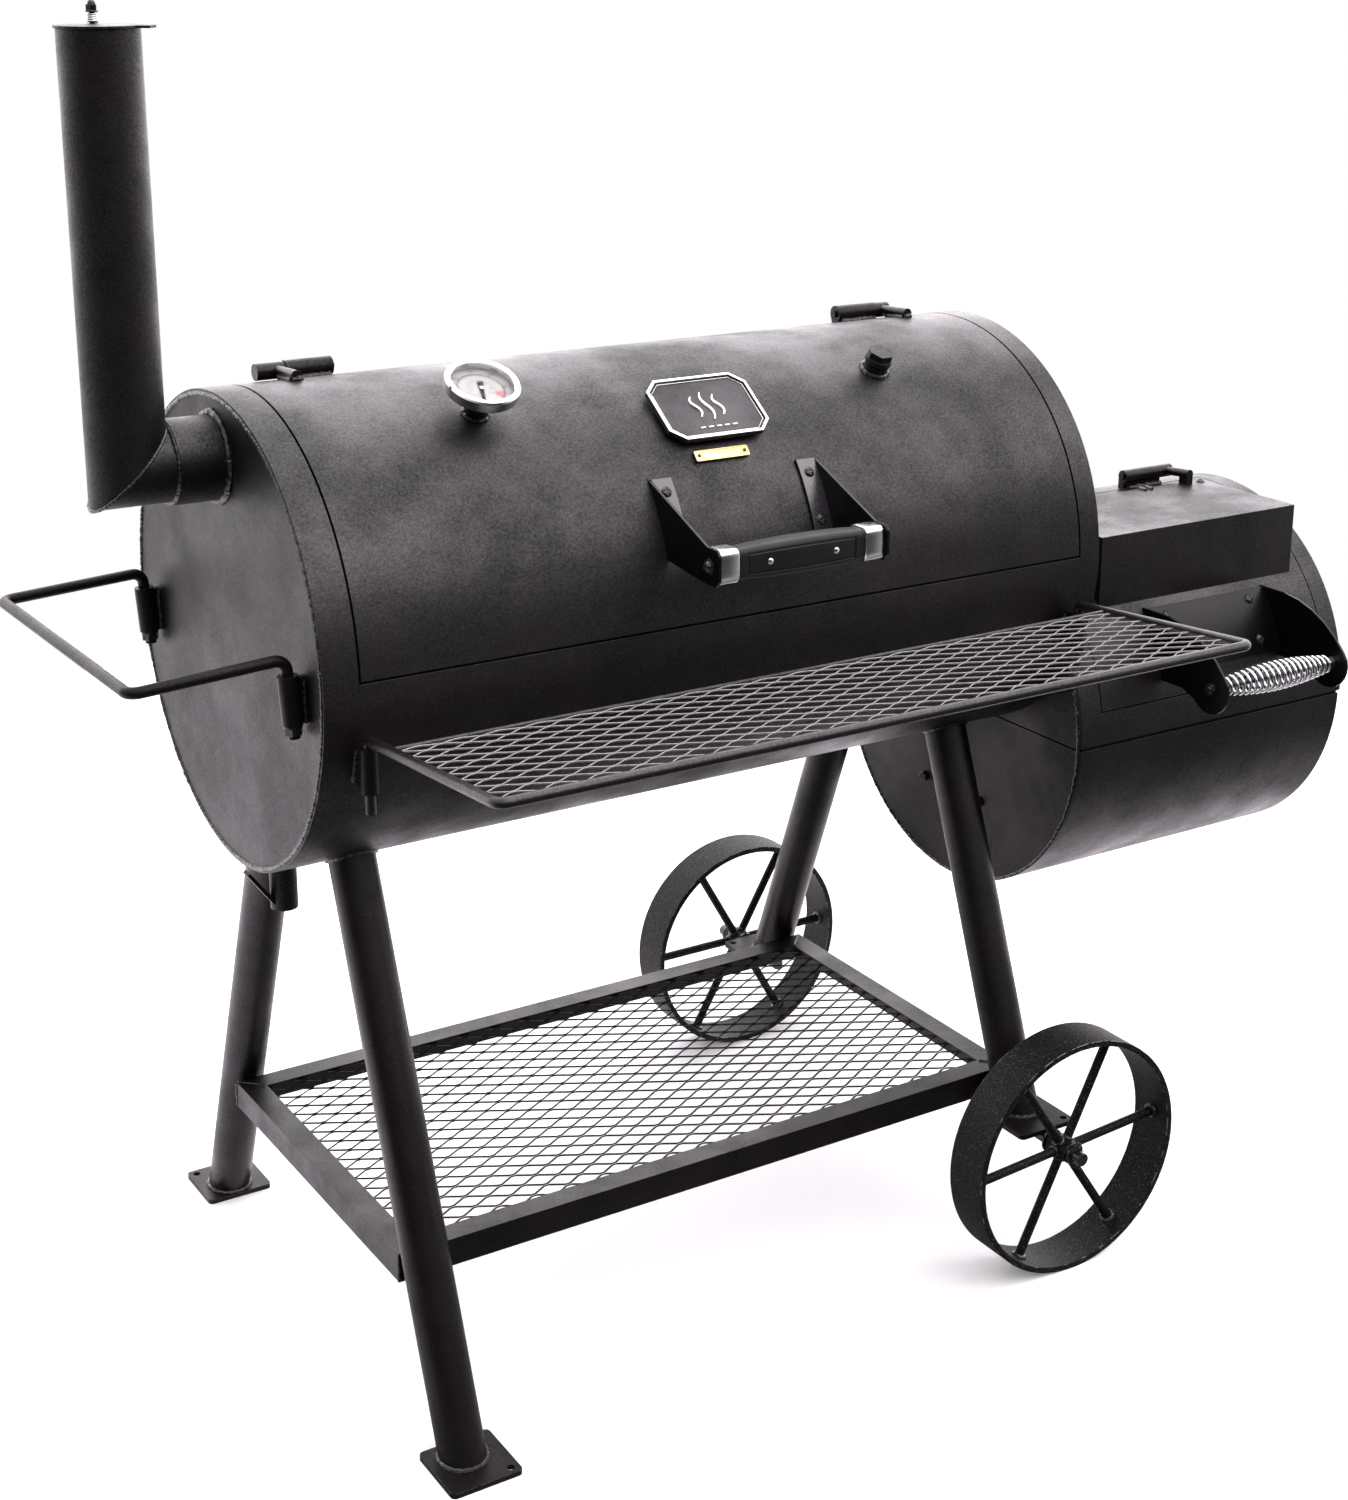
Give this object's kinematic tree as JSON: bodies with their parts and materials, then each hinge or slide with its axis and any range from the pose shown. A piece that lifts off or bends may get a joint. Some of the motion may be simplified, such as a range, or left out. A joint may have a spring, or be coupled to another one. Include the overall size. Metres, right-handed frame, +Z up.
{
  "type": "barrel charcoal grill",
  "caption": "Offset barrel charcoal grill with hinged lid, side firebox, chimney with damper, lift-off front shelf, bottom shelf, bail handle and steel wheels.",
  "frame": {"origin": "on the floor, below the centre of the grill's bounding box", "axes": "+X towards the firebox along the drum, +Y to the rear, +Z up"},
  "size_m": [1.604, 0.9296, 1.4714],
  "materials": {
    "black_paint": "satin high-heat paint with fine speckle",
    "black_rod": "satin paint on round rod",
    "mesh_black": "painted expanded metal",
    "mesh_steel": "worn painted expanded metal",
    "wheel_paint": "rough speckled paint",
    "bolt_steel": "blackened fasteners",
    "chrome": "polished",
    "dial_white": "printed white dial",
    "glass": "clear lens",
    "pointer_black": "matte",
    "plate_metal": "dark plate with polished raised edge",
    "brass": "satin brass",
    "grip_black": "moulded grip",
    "grate_black": "enamelled cooking grate"
  },
  "bodies": {
    "grill": {"drum_shell": "black_paint", "drum_cap_left": "black_paint", "drum_cap_right": "black_paint", "lid_lip": "black_paint", "drum_hinge_knuckles": "black_paint", "grate_ledges": "black_paint", "chimney_collar": "black_paint", "chimney_elbow": "black_paint", "chimney_pipe": "black_paint", "damper_bolt": "bolt_steel", "damper_spring": "chrome", "bail_sockets": "black_rod", "bail_handle": "black_rod", "bail_nuts": "bolt_steel", "shelf_sockets": "black_rod", "drain_pipe": "black_paint", "bucket_hook": "black_rod", "leg_front_left": "black_paint", "leg_rear_left": "black_paint", "leg_front_right": "black_paint", "leg_rear_right": "black_paint", "foot_plates": "black_paint", "axle_plates": "black_paint", "axles": "bolt_steel", "bottom_shelf_frame": "black_paint", "bottom_mesh": "mesh_black", "shelf_lugs": "black_paint", "firebox_lower": "black_paint", "firebox_upper": "black_paint", "firebox_bolts": "bolt_steel", "charcoal_ledges": "black_paint", "intake_bolt": "bolt_steel"},
    "lid": {"lid_panel": "black_paint", "lid_hinge_arms": "black_paint", "thermometer_case": "chrome", "thermometer_dial": "dial_white", "thermometer_glass": "glass", "lid_fittings": "black_paint", "badge_plate": "plate_metal", "name_plate": "brass", "handle_brackets": "black_paint", "handle_grip": "grip_black", "handle_ferrules": "chrome", "lid_screws": "bolt_steel"},
    "pointer": {"thermometer_pointer": "pointer_black"},
    "door": {"firebox_door": "black_paint", "door_hinge_arms": "black_paint", "door_handle_bracket": "black_paint", "door_handle_spring": "chrome", "door_bolts": "bolt_steel"},
    "damper": {"damper_cap": "black_paint"},
    "shutter": {"intake_shutter": "black_paint"},
    "front_shelf": {"front_shelf_rods": "black_rod", "front_shelf_mesh": "mesh_steel"},
    "grate_left": {"grate_left": "grate_black"},
    "grate_middle": {"grate_middle": "grate_black"},
    "grate_right": {"grate_right": "grate_black"},
    "charcoal_grate": {"charcoal_grate": "grate_black"},
    "wheel_front": {"wheel_front": "wheel_paint"},
    "wheel_rear": {"wheel_rear": "wheel_paint"}
  },
  "joints": [
    {"name": "lid_hinge", "type": "hinge", "parent": "grill", "child": "lid", "pos_m": [-0.134, 0.14422, 1.08949], "axis": [-1, 0, 0], "range_deg": [0, 115]},
    {"name": "door_hinge", "type": "hinge", "parent": "grill", "child": "door", "pos_m": [0.576, 0.09576, 0.845], "axis": [-1, 0, 0], "range_deg": [0, 105]},
    {"name": "damper_swing", "type": "hinge", "parent": "grill", "child": "damper", "pos_m": [-0.711, 0.10576, 1.447], "axis": [0, 0, 1], "range_deg": [0, 100]},
    {"name": "intake_turn", "type": "hinge", "parent": "grill", "child": "shutter", "pos_m": [0.788, 0.07576, 0.44], "axis": [1, 0, 0], "range_deg": [0, 90]},
    {"name": "pointer_turn", "type": "hinge", "parent": "lid", "child": "pointer", "pos_m": [-0.3855, -0.05408, 1.08883], "axis": [0, 0.454, -0.891], "range_deg": [0, 295]},
    {"name": "front_shelf_lift", "type": "slide", "parent": "grill", "child": "front_shelf", "axis": [0, 0, 1], "range_m": [0, 0.08]},
    {"name": "grate_left_lift", "type": "slide", "parent": "grill", "child": "grate_left", "axis": [0, 0, 1], "range_m": [0, 0.06]},
    {"name": "grate_middle_lift", "type": "slide", "parent": "grill", "child": "grate_middle", "axis": [0, 0, 1], "range_m": [0, 0.06]},
    {"name": "grate_right_lift", "type": "slide", "parent": "grill", "child": "grate_right", "axis": [0, 0, 1], "range_m": [0, 0.06]},
    {"name": "charcoal_grate_lift", "type": "slide", "parent": "grill", "child": "charcoal_grate", "axis": [0, 0, 1], "range_m": [0, 0.06]},
    {"name": "wheel_front_spin", "type": "hinge", "parent": "grill", "child": "wheel_front", "pos_m": [0.251, -0.27774, 0.147], "axis": [0, 1, 0], "continuous": true},
    {"name": "wheel_rear_spin", "type": "hinge", "parent": "grill", "child": "wheel_rear", "pos_m": [0.251, 0.42926, 0.147], "axis": [0, 1, 0], "continuous": true}
  ]
}
